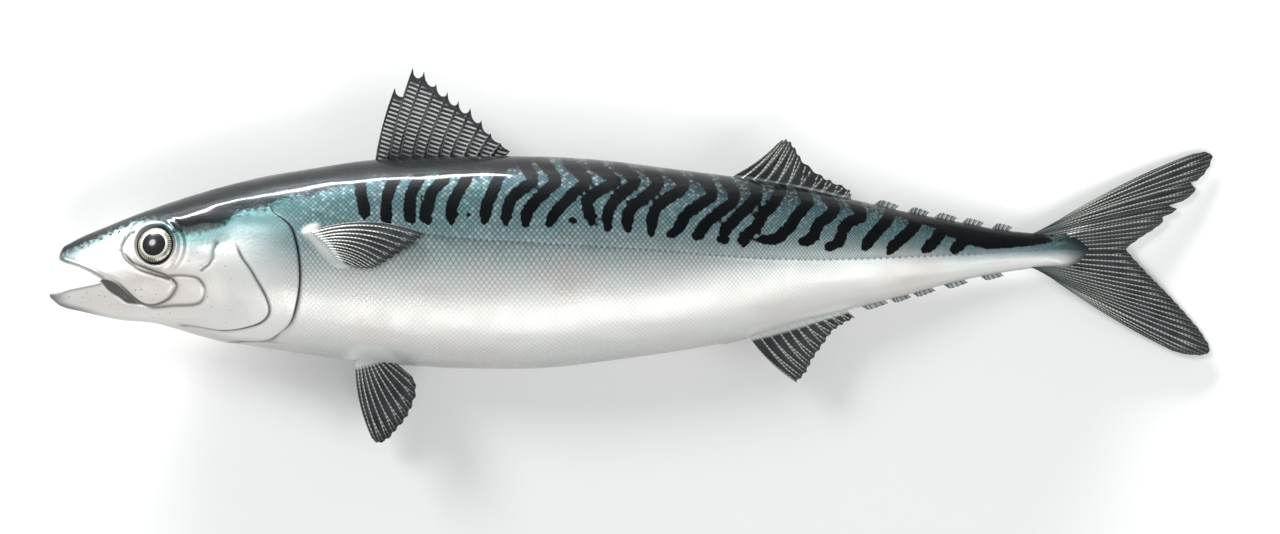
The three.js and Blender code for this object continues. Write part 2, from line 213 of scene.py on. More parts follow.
# ---- outlines of the body, (x, value) ----
back = profile([
    (0, -12.9), (3.1, -0.9), (6.2, 2.1), (15.2, 6.3), (33.2, 13.2), (57.2, 20.4),
    (81.2, 24.9), (96.8, 27), (117, 27.9), (141, 28.2), (165, 27), (205.7, 21.9),
    (225, 18.9), (243, 14.7), (264, 10.2), (285, 6.3), (297, 5), (304, 4.7),
    (309, 3.7), (311.4, 1.8), (TRUNK_END, 0.6),
])
belly = profile([
    (0, -14.2), (3.2, -16.8), (9.2, -18.6), (21.2, -21.3), (33.2, -22.5), (57.2, -28.2),
    (81.2, -31.8), (105, -34.5), (141, -35.7), (165, -33.6), (201, -28.2), (225, -21.9),
    (255, -14.1), (279, -8.1), (297, -5.3), (304, -5), (309, -4), (311.4, -2), (TRUNK_END, -0.8),
])
half_width = profile([
    (0, 0.9), (3, 3.3), (6, 5), (10, 6.9), (20, 10.2), (32, 12.9), (50, 16.2), (75, 18.8),
    (95, 20.2), (127, HALF_WIDTH), (165, 20.2), (200, 17.6), (240, 11.4), (270, 6.8),
    (297, 4), (304, 2.9), (309, 1.8), (311.4, 0.9), (TRUNK_END, 0.3),
])
# Exponent of the section's curve: 2 is an ellipse, less is leaner, more is fuller.
full_above = profile([(0, 2), (60, 2.1), (120, 2.2), (240, 2.1), (310, 2)])
full_below = profile([(0, 1.7), (50, 1.75), (80, 2), (120, 2.15), (240, 2.05), (310, 2)])
# Height of the middle plane above the table: the trunk lies flat, the tail droops.
middle = profile([
    (0, 18.6), (40, 19.6), (90, 20.2), (165, 20.2), (200, 18.6), (240, 13.2), (270, 8.6),
    (297, 5.6), (315, 3.9), (350, 0.9),
])
# Rear edges of the cheek plate and the gill cover, (degrees down from the back, x).
cheek_edge = profile([
    (0, 50), (80, 56.1), (102, 61.4), (114, 64.6), (124, 65.8), (132, 64.2), (139, 60.2),
    (149, 51.5), (157, 40), (180, 38),
])
gill_edge = profile([
    (0, 64), (55, 66.4), (70, 72.2), (81, 74), (93, 74.9), (105, 74.9), (118, 74),
    (132, 72.2), (143, 68.8), (155, 64.2), (162, 57.2), (180, 50),
])


def widest(x):
    return lerp(belly(x), back(x), WIDEST)


def half_section(x, above):
    """The widest level at x, and the height and exponent of the half above or below it."""
    level = widest(x)
    tall = np.where(above, back(x) - level, level - belly(x))
    return level, tall, np.where(above, full_above(x), full_below(x))


def flank(x, y):
    """How far the skin is from the middle plane at (x, y)."""
    level, tall, n = half_section(x, y > widest(x))
    t = np.minimum(np.abs(y - level) / tall, 1)
    return half_width(x) * (1 - t**n) ** (1 / n)


def section(x, angle):
    """A point (y, z) of the section at x, angle degrees from the back, and its outward way."""
    turn = np.radians(angle)
    c, s = np.cos(turn), np.sin(turn)
    level, tall, n = half_section(x, c >= 0)
    wide = half_width(x)
    y = tall * np.sign(c) * np.abs(c) ** (2 / n)
    z = wide * np.sign(s) * np.abs(s) ** (2 / n)
    out_y, out_z = y / tall**2, z / wide**2
    size = np.hypot(out_y, out_z)
    return level + y, z, out_y / size, out_z / size


def placed(x, y, z, lowest=None):
    """Row coordinates, in metres, of points in the fish's own millimetres."""
    high = z + middle(x)
    if lowest is not None:
        high = np.maximum(high, lowest)
    return np.stack([x + START_X, y + AXIS_Y, high], axis=-1) * MM


def own_place(piece):
    """The fish's own x, y and z of every vertex."""
    found = np.empty(len(piece.data.vertices) * 3, np.float32)
    piece.data.vertices.foreach_get("co", found)
    x, y, z = found.reshape(-1, 3).astype(float).T / MM
    return x - START_X, y - AXIS_Y, z - middle(x - START_X)


# ---- the gill cover and the cheek plate ----
def gill_side(angle):
    return fade(angle, 46, 74) * (1 - 0.6 * fade(angle, 166, 180))


def cheek_side(angle):
    return fade(angle, 76, 86) * fade(angle, 163, 155)


def plate_rise(x, edge, before, full):
    """A plate rises from some mm before its free edge, is full nearer to it and ends there."""
    return np.where(x <= edge + 0.01, fade(x, edge - before, edge - full), 0)


def gill_lift(x, angle):
    return GILL_STEP * gill_side(angle) * plate_rise(x, gill_edge(angle), 26, 4)


def cheek_lift(x, angle):
    return CHEEK_STEP * cheek_side(angle) * plate_rise(x, cheek_edge(angle), 14, 2)


# The skin's way round the free edge and into the slit: (mm behind the edge, lift in steps).
GILL_FOLD = [
    (0, 1), (0.3, 0.95), (0.5, 0.72), (0.5, 0.42), (0.3, 0.2), (-0.1, 0.08), (-0.7, -0.05),
    (-1.3, -0.3), (-1.9, -0.7), (-1.4, -0.98), (-0.7, -0.88), (0.1, -0.6), (0.8, -0.28),
    (1.5, -0.06), (2.2, 0),
]
CHEEK_FOLD = [(0, 1), (0.3, 0.85), (0.5, 0.4), (0.6, -0.1), (0.9, -0.25), (1.4, 0)]


def body_rings(angle):
    """x and lift of each ring at the given angles, from jaw to tail."""
    half = np.minimum(angle, 360 - angle)
    cheek, gill = cheek_edge(half), gill_edge(half)
    flat = np.zeros_like(half)
    rings = []

    def band(start, end, count, ease=1.0):
        for share in np.arange(count) / count:
            x = lerp(start, end, share**ease)
            rings.append((x, gill_lift(x, half) + cheek_lift(x, half)))

    def fold(edge, path, height, strength, base=0.0):
        shares = np.linspace(0, 1, 2 * len(path) - 1)[:-1]
        for share, (dx, rise) in zip(shares, spline(path, shares)):
            straight = fade(share, 0.5, 0)
            x = edge + lerp(path[-1][0] * share, dx, strength)
            under = base * gill_lift(x, half)
            rings.append((x, under + height * strength * lerp(straight, rise, strength)))

    band(flat, flat + FACE_END, 102, 1.2)
    band(flat + FACE_END, cheek, 76)
    fold(cheek, CHEEK_FOLD, CHEEK_STEP, cheek_side(half), base=1.0)
    band(cheek + CHEEK_FOLD[-1][0], gill, 34)
    fold(gill, GILL_FOLD, GILL_STEP, gill_side(half))
    band(gill + GILL_FOLD[-1][0], flat + HEAD_END, 16)
    band(flat + HEAD_END, flat + VENT - VENT_REACH, 70)
    band(flat + VENT - VENT_REACH, flat + VENT + VENT_REACH, 14)
    band(flat + VENT + VENT_REACH, flat + TRUNK_END, 58, 0.97)
    rings.append((flat + TRUNK_END, flat))
    return [np.array(part) for part in zip(*rings)]


# ---- small forms of the head and trunk, in the side view ----
JAW_BONE = rounded([
    (4.4, -3.6), (10.6, -1.8), (17.6, 1.2), (21.6, -0.9), (25.6, -4.4), (30.8, -6.4),
    (35.4, -8.1), (38, -10.1), (37.6, -12), (36, -14.1), (33.1, -15.6), (30.8, -16),
    (28.5, -15.6), (26.2, -14.1), (23.3, -11.3), (20.5, -9), (15.9, -7.3), (9, -5),
])
SMALL_BONE = rounded([
    (30, -10), (36.8, -8.1), (43.4, -8.3), (45.8, -9.5), (46.9, -11.8), (46.3, -14.6),
    (44, -16), (37.6, -16.3), (30, -16.4),
])
GAPE = [
    (-4, -1.6), (2.6, -1.6), (2.9, -2.9), (4.4, -3.8), (9, -5.2), (12.4, -6.7),
    (15.9, -8.8), (15.3, -9.4), (6.1, -11.3), (1, -13), (-4, -13.6),
]
MOUTH_FOLD = rounded([
    (15.4, -9), (17.4, -8.6), (20.5, -9.8), (23.3, -12.2), (26.2, -14.9), (28.4, -16.2),
    (26.4, -16.4), (23.4, -16), (21, -14.3), (17.8, -12.2),
])
CHEEK_LINE = [(50.9, 1.6), (49.9, -0.6), (49.6, -2.6), (48.4, -4.4), (46.2, -6)]
# The fold of the lid before the eye, which runs on as the top of the jaw's side bone.
LID_LINE = rounded_line([
    (25.6, 5.3), (23.6, 3.7), (22.2, 0.8), (22.7, -2.1), (25, -4.4), (27.9, -6.1),
    (32, -7.4), (36.5, -8.6),
])
lateral_line = profile([
    (70, 14.5), (80, 11.6), (95, 7.8), (122, 3.6), (150, 1.8), (180, 0), (200, -1.6),
    (219, -2.8), (240, -2.8), (270, -1.6), (300, 0),
])
KEELS = [[(300.8, 1.8), (312.2, 6.6)], [(300.8, -2.4), (312.2, -7.2)]]
# The fleshy pad that the pectoral fin grows from, and the pale skin over the pelvic fins.
PECTORAL_PAD = rounded([
    (76.7, 5), (78.2, 7), (81.2, 7.6), (81.8, 5.4), (85.6, 1.6), (89.2, -3.8),
    (88.5, -4.9), (86, -4.4), (82.8, -1.8), (79.2, 2.6),
])
PELVIC_SKIN = rounded([
    (88, -34.8), (89.5, -32), (91.5, -29.6), (95.5, -28.8), (100, -29.4), (103, -31.6), (105, -35),
])
LIP = 1.1  # radius of the rounded edge of the lips
LID = 6.6  # radius of the rim of the eye's opening
THROAT_RAYS = 1.25  # mm between the thin rays under the gill cover


def keel_height(x, y):
    """The low ridges on either side of the tail stalk's end."""
    total = 0
    for line in KEELS:
        gap, place = chain_distance(x, y, line)
        total = total + 1.1 * near(gap, 1.0) * (0.35 + 0.65 * np.sin(math.pi * place))
    return total


def head_lines(x, y):
    """Distances to the forms of the face, above 0 inside the first three."""
    plates = [inside_distance(x, y, plate) for plate in (JAW_BONE, SMALL_BONE, MOUTH_FOLD)]
    return *plates, *[chain_distance(x, y, line)[0] for line in (CHEEK_LINE, LID_LINE)]


def bone_relief(x, y):
    """The plates and creases round the mouth and on the cheek."""
    jaw, small, fold, line, lid = head_lines(x, y)
    # The plate's front and top melt into the snout; only its rear and foot have an edge.
    crisp = fade(x - 1.3 * y, 14, 38)
    rise = JAW_PLATE * fade(jaw, -0.6, 0.9) * crisp
    rise -= 0.22 * near(jaw + 0.8, 0.6) * crisp
    rise += SMALL_PLATE * fade(small, -0.7, 0.8) * fade(jaw, 0, -0.6)
    rise -= 0.9 * fade(fold, -0.3, 1.0) * fade(jaw, -0.1, -0.9)
    return rise - 0.4 * near(lid, 0.6) - 0.3 * near(line, 0.65)


def eye_relief(x, y):
    """The soft lids: a raised rim round the eye and the folds before and behind it."""
    dx, dy = x - EYE_AT[0], y - EYE_AT[1]
    away = np.hypot(dx, dy)
    turn = np.degrees(np.arctan2(dy, -dx))  # 0 is in front of the eye
    rise = 0.55 * near(away - LID, 0.75)
    rise -= 0.9 * fade(away, 6.2, 4.6)
    front = np.exp(-((turn / 55) ** 4))
    rear = np.exp(-(((180 - np.abs(turn)) / 48) ** 4))
    for radius, height, share in ((8.2, 0.35, front), (8.6, 0.2, rear)):
        fold = near(away - radius, 0.55) - 0.8 * near(away - radius - 0.95, 0.45)
        rise += height * share * fold
    return rise


def lip_relief(x, y):
    """The lips roll in towards the mouth's edge, with a faint groove behind the roll."""
    away = -inside_distance(x, y, GAPE)
    radius = np.minimum(LIP, 0.45 * half_width(x))
    short = np.clip(radius - away, 0, radius)
    roll = radius - np.sqrt(np.maximum(radius**2 - short**2, 0))
    return -roll - 0.14 * near(away - radius - 0.5, 0.35)


def throat_relief(x, angle):
    """The groove under the chin and the thin rays that fan out under the gill cover."""
    chin = near(180 - angle, 7) * fade(x, 5, 12) * fade(x, 44, 34)
    past = x - gill_edge(angle)
    fan = fade(past, 2, 3) * fade(past, 10, 7) * fade(angle, 138, 146)
    return -0.45 * chin + 0.14 * fan * np.sin(past * 2 * math.pi / THROAT_RAYS)


def vent_distance(x, angle):
    """0 in the middle of the vent, 1 at the edge of its slit."""
    return np.hypot((x - VENT) / 1.9, (180 - angle) * ARC / 0.95)


def trunk_relief(x, y, angle):
    """The lateral line, the vent, the pectoral fin's pad and the keels."""
    rise = 0.16 * near(y - lateral_line(x), 0.6) * fade(x, 72, 82)
    vent = vent_distance(x, angle)
    rise += 0.4 * near(vent - 1.6, 0.6) - 0.7 * near(vent, 0.8)
    pad = inside_distance(x, y, PECTORAL_PAD)
    return rise + 0.4 * fade(pad, -1, 1.5) + keel_height(x, y)


def relief(x, y, angle):
    """How far the small forms stand off the smooth skin, in mm."""
    arc = angle * ARC
    uneven = 0.07 * ripples(x, arc, 24, 3) + 0.025 * ripples(x, arc, 8, 5)
    rise = uneven * fade(x, 4, 30) * (1 - 0.8 * fade(x, 270, 300))
    head = x < 80
    hx, hy = x[head], y[head]
    small = bone_relief(hx, hy) + eye_relief(hx, hy) + lip_relief(hx, hy)
    rise[head] += small + throat_relief(hx, angle[head])
    trunk = x > 68
    rise[trunk] += trunk_relief(x[trunk], y[trunk], angle[trunk])
    return rise


# ---- meshes ----
def grid_faces(rows, columns, wrap=False):
    """Quads between the points of a grid that is stored row by row."""
    at = np.arange(rows * columns).reshape(rows, columns)
    if wrap:
        at = np.hstack([at, at[:, :1]])
    return np.stack([at[:-1, :-1], at[:-1, 1:], at[1:, 1:], at[1:, :-1]], axis=-1).reshape(-1, 4)


def make_mesh(name, points, faces):
    """A linked object made of points and faces."""
    mesh = bpy.data.meshes.new(name)
    mesh.from_pydata(points.reshape(-1, 3).tolist(), [], [list(map(int, f)) for f in faces])
    mesh.update()
    piece = bpy.data.objects.new(name, mesh)
    bpy.context.scene.collection.objects.link(piece)
    return piece


def capped_tube(name, points):
    """A closed mesh through rings of points, with a fan at either end."""
    rows, around = points.shape[:2]
    faces = grid_faces(rows, around, wrap=True).tolist()
    ends = [points[0].mean(axis=0), points[-1].mean(axis=0)]
    first = rows * around
    for k in range(around):
        after = (k + 1) % around
        faces.append([after, k, first])
        faces.append([(rows - 1) * around + k, (rows - 1) * around + after, first + 1])
    return make_mesh(name, np.vstack([points.reshape(-1, 3), ends]), faces)


def face_out(piece):
    """Turns the faces of a closed mesh out."""
    made = bmesh.new()
    made.from_mesh(piece.data)
    if made.calc_volume(signed=True) < 0:
        bmesh.ops.reverse_faces(made, faces=made.faces)
    made.to_mesh(piece.data)
    made.free()


def smooth(piece, sharp=55):
    piece.data.shade_smooth()
    piece.data.set_sharp_from_angle(angle=math.radians(sharp))


def note(piece, **values):
    """Stores a number for each vertex under each name, for the material to read."""
    for name, value in values.items():
        store = piece.data.attributes.new(name, "FLOAT", "POINT")
        store.data.foreach_set("value", np.ascontiguousarray(value, np.float32).ravel())


def finish_piece(piece, node, look):
    """A piece that is part of the fish and stands for one of its nodes."""
    piece.data.materials.clear()
    piece.data.materials.append(look)
    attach(piece, "root")
    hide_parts(node)


# ---- the eyes ----
def eye_frame():
    """Centre of the left eyeball, in the fish's own mm, and the turn of its axis."""
    x, y = EYE_AT
    d = 2
    slope_x = (flank(x + d, y) - flank(x - d, y)) / (2 * d)
    slope_y = (flank(x, y + d) - flank(x, y - d)) / (2 * d)
    out = Vector((-slope_x, -slope_y, 1)).normalized()
    centre = Vector((x, y, float(flank(x, y)))) - out * EYE_SINK
    return centre, Vector((0, 0, 1)).rotation_difference(out).to_matrix()


def eye_piece(side, radius, depth, bulge=0.0, rings=48, around=96):
    """A flattened ball in the eye of one side, its cornea a little proud."""
    tilt = np.linspace(0, math.pi, rings + 2)[1:-1, None]
    turn = circle(around) + 0 * tilt
    out = np.sin(tilt) * radius + 0 * turn
    high = np.cos(tilt) * depth
    high = high + bulge * near(out, 0.75 * radius) * (high > 0)
    centre, turned = eye_frame()
    points = np.stack([out * np.cos(turn), out * np.sin(turn), high], axis=-1)
    x, y, z = np.moveaxis(points @ np.array(turned).T + np.array(centre), -1, 0)
    piece = capped_tube(f"eye_{SIDES[side]}_ball", placed(x, y, z * side))
    face_out(piece)
    note(piece, radius=[*out.ravel(), 0, 0], turn=[*turn.ravel(), 0, 0])
    smooth(piece, 80)
    return piece


# ---- what is cut out of the body ----
# (x, middle height, half height, half width) of the mouth's hollow.
HOLLOW = [
    (-1, -8.2, 3.2, 1), (2, -8, 4.4, 1.1), (6, -8, 5.2, 3.1), (10, -8.2, 5.2, 4.8),
    (15, -9, 5, 6.2), (20, -9.6, 4.2, 6), (26, -10.2, 2.6, 4.4), (30, -10.5, 0.8, 1.4),
]
# (x, y, half length, half height, degrees) of the two nostrils on each side.
NOSTRILS = [(18.6, 4.6, 0.42, 0.36, 20), (21.2, 5.4, 0.7, 0.28, 60)]
NOSTRIL_DEPTH = 0.8


def gape_cutter():
    """The wedge between the lips, right through the head."""
    outline = []
    for (ax, ay), (bx, by) in zip(GAPE, [*GAPE[1:], GAPE[0]]):
        steps = max(1, round(math.hypot(bx - ax, by - ay) / 0.6))
        outline += [(lerp(ax, bx, k / steps), lerp(ay, by, k / steps)) for k in range(steps)]
    x, y = np.array(outline).T
    heights = [-FAR, *np.linspace(-9, 9, 45), FAR]
    points = np.stack([placed(x, y, np.full_like(x, z)) for z in heights])
    return capped_tube("gape", points)


def hollow_cutter():
    """The hollow of the mouth behind the lips."""
    turn = circle(40)
    x, high, tall, wide = spline(HOLLOW, np.linspace(0, 1, 50)).T[..., None]
    x = x + 0 * turn
    return capped_tube("hollow", placed(x, high + tall * np.cos(turn), wide * np.sin(turn)))


def nostril_cutter(spot, side):
    x, y, long, tall, degrees = spot
    turn, tilt = np.meshgrid(circle(24), np.linspace(0.1, 3.04, 9))
    u, v = long * np.sin(tilt) * np.cos(turn), tall * np.sin(tilt) * np.sin(turn)
    c, s = math.cos(math.radians(degrees)), math.sin(math.radians(degrees))
    z = side * (float(flank(x, y)) + NOSTRIL_DEPTH * np.cos(tilt))
    return capped_tube("nostril", placed(x + c * u - s * v, y + s * u + c * v, z))


def cutters():
    made = [gape_cutter(), hollow_cutter()]
    for side in SIDES:
        made.append(eye_piece(side, EYE_RADIUS + EYE_GAP, EYE_DEPTH + EYE_GAP))
        made += [nostril_cutter(spot, side) for spot in NOSTRILS]
    return made


def cut(body, tools):
    """Takes the tools' forms out of the body, and removes the tools."""
    for tool in tools:
        face_out(tool)
        step = body.modifiers.new("cut", "BOOLEAN")
        step.operation = "DIFFERENCE"
        step.solver = "MANIFOLD"
        step.object = tool
    whole = body.evaluated_get(bpy.context.evaluated_depsgraph_get())
    made = bpy.data.meshes.new_from_object(whole)
    body.modifiers.clear()
    body.data = made
    for tool in tools:
        bpy.data.objects.remove(tool)


# ---- the skin's pattern, in the side view ----
BARS = [
    [(93.5, 20), (94, 16), (95, 11.5), (95, 10)],
    [(104, 21.5), (102, 17), (101.5, 13), (101.5, 10), (102, 8.5)],
    [(111, 21), (109, 17), (108.5, 13), (108.5, 10), (109, 8.5)],
    [(118.5, 21), (115, 17), (114, 13), (113, 10.5), (114, 8.5)],
    [(125, 20.5), (122.5, 16.5), (121, 12.5), (121, 8.5)],
    [(135, 21.5), (133, 17), (131.5, 13), (131, 8.5)],
    [(142, 26.5), (145, 21), (142.5, 18.5), (139, 15.5), (137.5, 11.5), (137, 8)],
    [(148, 26.5), (152, 21), (150, 18.5), (146, 14.5), (143.5, 11), (143, 7.5)],
    [(156, 26), (160, 22), (161, 20.5), (157.5, 17), (154, 13.5), (151.5, 10.5), (150, 7.5)],
    [(164, 25), (168.5, 21.5), (169, 20), (164, 17), (161.5, 14.5), (162, 11), (163, 8)],
    [(171.5, 25), (175, 21.5), (175.5, 20), (172, 17), (169, 14), (167.5, 10.5), (167.5, 6.5)],
    [(179.5, 24.5), (182.5, 20), (178.5, 15.5), (175, 13), (173.5, 10), (173.5, 6)],
    [(186.5, 23.5), (190, 19.5), (188, 17), (183.5, 14), (181, 10), (180.5, 5)],
    [(195, 22), (197.5, 19.5), (198.5, 16), (194, 13), (190.5, 10), (189, 7), (186.5, 4.5)],
    [(203, 20.5), (205, 17.5), (205, 14.5), (202, 12), (197.5, 8.5), (195.5, 6), (194, 4)],
    [(211.5, 19.5), (212, 16), (210.5, 14), (207, 10.5), (203, 6.5), (202, 3.5)],
    [(219, 17), (216.5, 13), (214, 11), (212, 7), (208.5, 4), (208, 2)],
    [(226, 17), (227.5, 14.5), (226, 12.5), (224, 10), (222, 7), (220, 5), (217, 3), (214, 3.5)],
    [(233, 16), (235.5, 12.5), (233.5, 10), (230.5, 7.5), (229, 4), (226, 2.5)],
    [(242, 13.5), (243.5, 10), (240, 8.5), (238, 6), (237, 3), (235, 1)],
    [(252.5, 11.5), (251, 8.5), (248, 5.5), (246, 3), (244.5, 0.5)],
    [(261, 10.5), (259.5, 7), (257, 4.5), (253.5, 1.5), (252, -0.5)],
    [(269, 8.5), (268, 6), (265.5, 2.5), (262.5, 0)],
    [(275.5, 5), (273, 1.5), (271.5, 0)],
]
BAR_HALF = 1.8  # half the width of a bar
BAR_REACH = 24.0  # no bar matters further than this before or behind its top
# (x, y, radius) of the blots at the feet of some bars.
BLOTS = [
    (126, 10.5, 0.8), (157, 8.7, 1.5), (186.5, 4.6, 1.6), (194.5, 4.2, 1.9), (202, 3.2, 2),
    (208, 2.8, 1.9), (213.5, 3, 1.6), (226.5, 2.6, 2), (234, 1, 1.8), (263, -0.3, 1.4),
    (272, -0.4, 1.3),
]
# The dark of the tail stalk, (x, y, half height).
STALK = [
    (255, 11.4, 1.2), (266, 8.4, 1.8), (275, 5.4, 3.4), (282, 4.2, 4), (289, 3.6, 3),
    (295, 3.3, 2), (300.5, 2.9, 0.7),
]
# The lower edge of the dark on the head and nape.
cap_edge = profile([
    (0, -3), (5, -1), (9, 1), (15.2, 3.4), (22.7, 6.8), (32, 9), (39.2, 5.2), (45.2, 5.6),
    (52.7, 7.4), (57, 11), (64.7, 12.2), (70, 15), (80, 17), (92, 20), (105, 21.6),
    (130, 23.2), (141, 24.6), (150, 28.5), (310, 40),
])


def bar_distance(x, y):
    """Distance outside the nearest dark bar or blot, below 0 in it."""
    best = np.full(np.shape(x), np.inf)
    for points in BARS:
        (ax, ay), (bx, by) = points[0], points[1]
        # Each bar runs on into the dark of the back.
        top = (ax + (ax - bx) * 0.4, ay + (ay - by) * 0.4 + 2)
        line = [top, *rounded_line(points)]
        close = np.abs(x - ax) < BAR_REACH
        gap, place = chain_distance(x[close], y[close], line)
        end = place / (len(line) - 1)
        half = BAR_HALF * (1 - 0.35 * fade(end, 0.85, 1))
        best[close] = np.minimum(best[close], gap - half)
    for bx, by, radius in BLOTS:
        best = np.minimum(best, np.hypot(x - bx, (y - by) * 1.2) - radius)
    gap, place = chain_distance(x, y, [p[:2] for p in STALK])
    half = np.interp(place, np.arange(len(STALK)), [p[2] for p in STALK])
    return np.minimum(best, gap - half)


def behind_edge(x, angle, edge, behind):
    """Distance, square to an edge, from the line that runs the given mm behind it."""
    slope = (edge(angle + 1) - edge(angle - 1)) / (2 * ARC)
    return (x - edge(angle) - behind) / np.hypot(1, slope)


def crease_darkness(x, y, angle):
    """Painted shade: 1 in the creases of the head, at the edges of its plates, in the gill slit,
    round the eye and in the vent; also darker at the tip and lower edge of the lower jaw.
    """
    jaw, small, fold, line, lid = head_lines(x, y)
    away = np.hypot(x - EYE_AT[0], y - EYE_AT[1])
    lips = -inside_distance(x, y, GAPE)
    cheek, gill = behind_edge(x, angle, cheek_edge, 0.75), behind_edge(x, angle, gill_edge, 0.7)
    gill_fade = fade(angle, 50, 60) * fade(angle, 174, 166)
    broad = fade(angle, 143, 155)
    out = fade(jaw, 0, -0.6)
    underside = fade(y - belly(x), 2.2, 0.3) * fade(x, 18, 8)
    return np.max([
        0.95 * near(jaw + 0.5, 0.5) * fade(x, 17, 24),
        0.8 * near(small + 0.3, 0.52) * out,
        0.95 * fade(fold, -0.1, 0.5) * out,
        0.8 * near(line, 0.5),
        0.95 * near(lid, 0.55),
        0.9 * near(cheek, 0.45 + 0.45 * broad) * cheek_side(angle),
        near(gill, 0.5 + 0.7 * broad) * gill_fade,
        0.8 * near(away - 5.9, 0.5),
        0.6 * near(lips - 0.8, 0.45),
        0.75 * fade(x, 7, 0) * (y < -9),
        0.7 * underside,
        0.75 * near(vent_distance(x, angle), 0.8),
    ], axis=0)


SCALE_ROWS = 50.0  # rows of scales from the back to the belly


def scale_size(x):
    """Size of a scale at x, in mm."""
    return np.maximum(1.3 * (back(x) - belly(x)), 30) / SCALE_ROWS


def pale_skin(x, y):
    """1 where the skin is bare and pale, at the roots of the fins."""
    pectoral = fade(inside_distance(x, y, PECTORAL_PAD), -1, 0.6)
    pelvic = fade(inside_distance(x, y, PELVIC_SKIN), -1, 0.8)
    anal = near(y - belly(x) - 1.2, 1.1) * fade(x, 208, 212) * fade(x, 242, 238)
    return np.max([pectoral, pelvic, anal], axis=0)


def skin_tone(x, y):
    """0 at the belly's edge and 1 at the back's, for the colour of the skin; its lowest values near
    the lower edge give painted shade.
    """
    trunk = (y - belly(x)) / (back(x) - belly(x))
    trunk = trunk + 0.13 * fade(x, 235, 290) * fade(trunk, 0, 0.25)
    under_cap = lerp(0.62, 0.8, fade(x, 28, 42))
    # Within 5 mm of the lower edge the tone may drop to the grey of painted shade.
    lowest_with_edge_shade = lerp(0.05, 0.27, fade(y - belly(x), 0, 5))
    head = np.clip(under_cap + 0.055 * (y - cap_edge(x)), lowest_with_edge_shade, 1)
    return lerp(head, trunk, fade(x, 40, 76))


def body_notes(body):
    """Where each vertex of the skin lies, as its material reads it."""
    x, y, z = own_place(body)
    above = y > widest(x)
    level, tall, n = half_section(x, above)
    rise, out = np.abs(y - level) / tall, np.abs(z) / half_width(x)
    share = np.maximum((rise**n + out**n) ** (1 / n), 1e-3)
    c, s = rise ** (n / 2) * np.where(above, 1, -1), out ** (n / 2)
    angle = np.degrees(np.arctan2(s, c))
    # The bars of the right side are shifted and bent a little differently.
    bar_x = x + np.where(z < 0, 3 * np.sin(x / 13) + 2.5, 0)
    steps, gap = np.linspace(0, 320, 641, retstep=True)
    note(
        body,
        tone=skin_tone(x, y),
        pale=pale_skin(x, y),
        lateral=y - lateral_line(x),
        bar=bar_distance(bar_x, y),
        cap=y - cap_edge(x),
        crease=crease_darkness(x, y, angle),
        depth=np.hypot(y - level, z) * (1 / share - 1),
        along=x,
        row=angle / 180 * SCALE_ROWS,
        file=np.interp(x, steps, np.cumsum(gap / scale_size(steps))),
    )


def body_piece(look):
    angle = np.concatenate([
        np.linspace(start, end, count, endpoint=False)
        for (start, count), (end, _) in zip(COLUMNS[:-1], COLUMNS[1:])
    ])
    x, lift = body_rings(angle)
    around = np.broadcast_to(angle, x.shape)
    y, z, out_y, out_z = section(x, around)
    rise = lift + relief(x, y, np.minimum(around, 360 - around))
    body = capped_tube("fish_skin", placed(x, y + out_y * rise, z + out_z * rise, lowest=0.0))
    face_out(body)
    cut(body, cutters())
    body_notes(body)
    smooth(body)
    finish_piece(body, "fish", look)


# ---- fins ----
THINNEST = 0.06  # half the thickness of a fin's front and rear edge


def shell(name, top, bottom):
    """A closed thin sheet between two grids of points."""
    columns, rows = top.shape[:2]
    count = columns * rows
    faces = grid_faces(columns, rows)
    sides = [*faces.tolist(), *(faces[:, ::-1] + count).tolist()]
    at = np.arange(count).reshape(columns, rows)
    edge = [*at[:, 0], *at[-1, 1:], *at[-2::-1, -1], *at[0, -2:0:-1]]
    for a, b in zip(edge, [*edge[1:], edge[0]]):
        sides.append([a, b, b + count, a + count])
    return make_mesh(name, np.vstack([top.reshape(-1, 3), bottom.reshape(-1, 3)]), sides)


